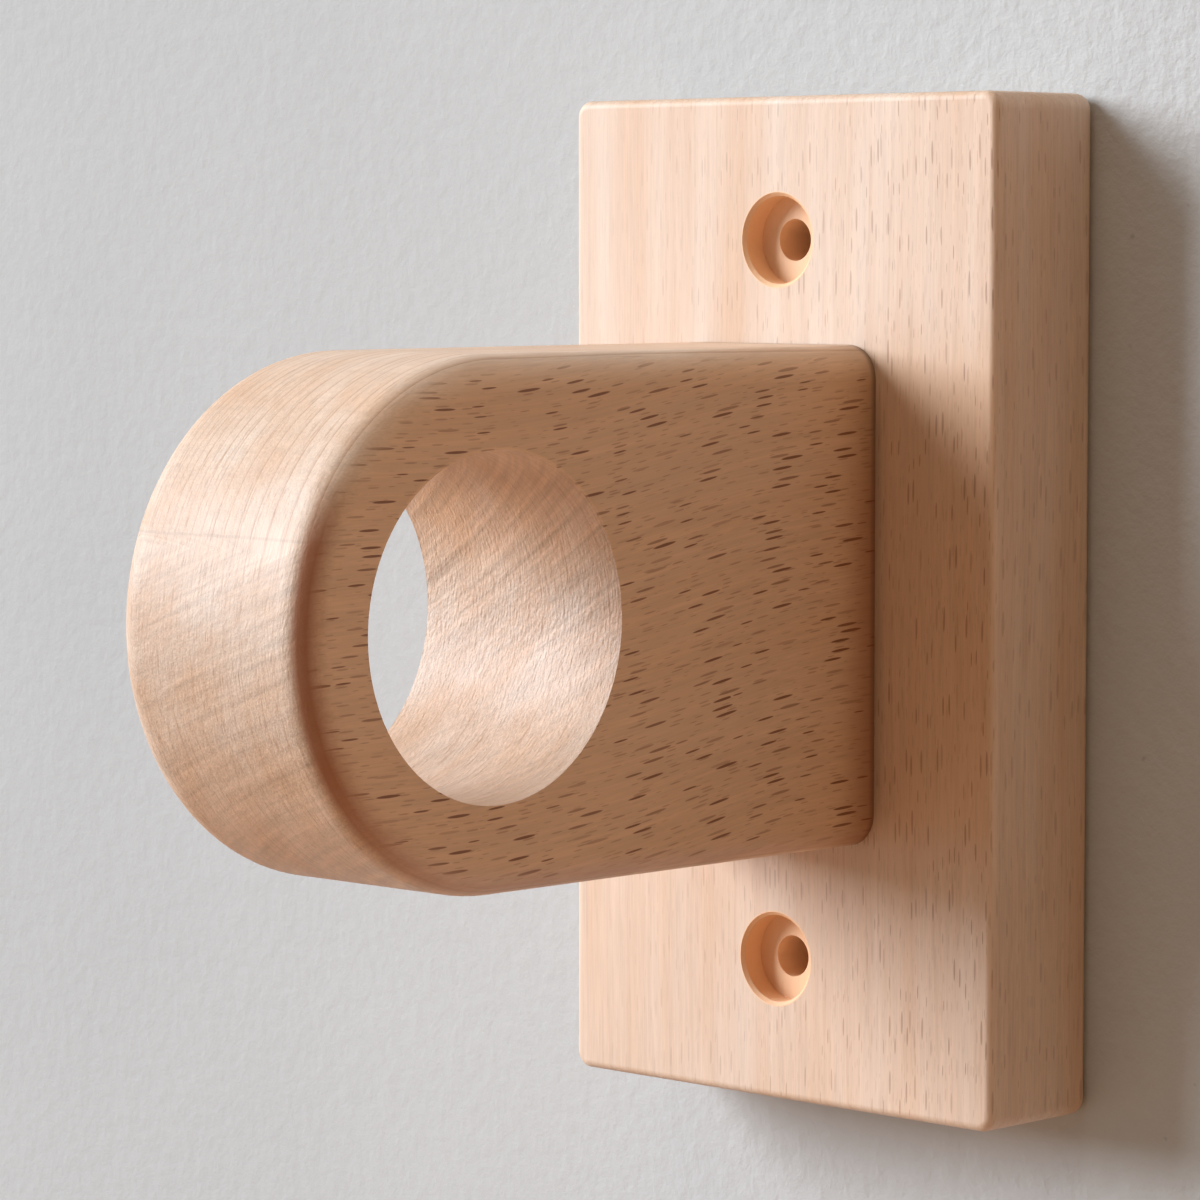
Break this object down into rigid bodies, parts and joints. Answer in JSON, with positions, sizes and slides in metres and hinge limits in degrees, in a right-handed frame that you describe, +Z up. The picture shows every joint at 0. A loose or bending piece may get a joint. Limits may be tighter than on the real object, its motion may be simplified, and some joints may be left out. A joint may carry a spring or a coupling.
{
  "type": "curtain pole bracket",
  "caption": "Wooden wall bracket for a curtain pole: an upright plate with counterbored screw holes and a round-nosed arm with a through bore that carries the pole.",
  "frame": {"origin": "centre of the plate's back face, which lies on the wall", "axes": "+X along the pole, +Y into the wall, so the arm stands out towards -Y, +Z up"},
  "size_m": [0.067, 0.1082, 0.12],
  "materials": {
    "beech_plate": "sanded and oiled, satin",
    "beech_arm": "sanded and oiled, satin",
    "beech_dowel": "turned and fluted, bare"
  },
  "bodies": {
    "root": {"wall_plate": "beech_plate", "pole_arm": "beech_arm", "dowels": "beech_dowel"}
  },
  "joints": []
}
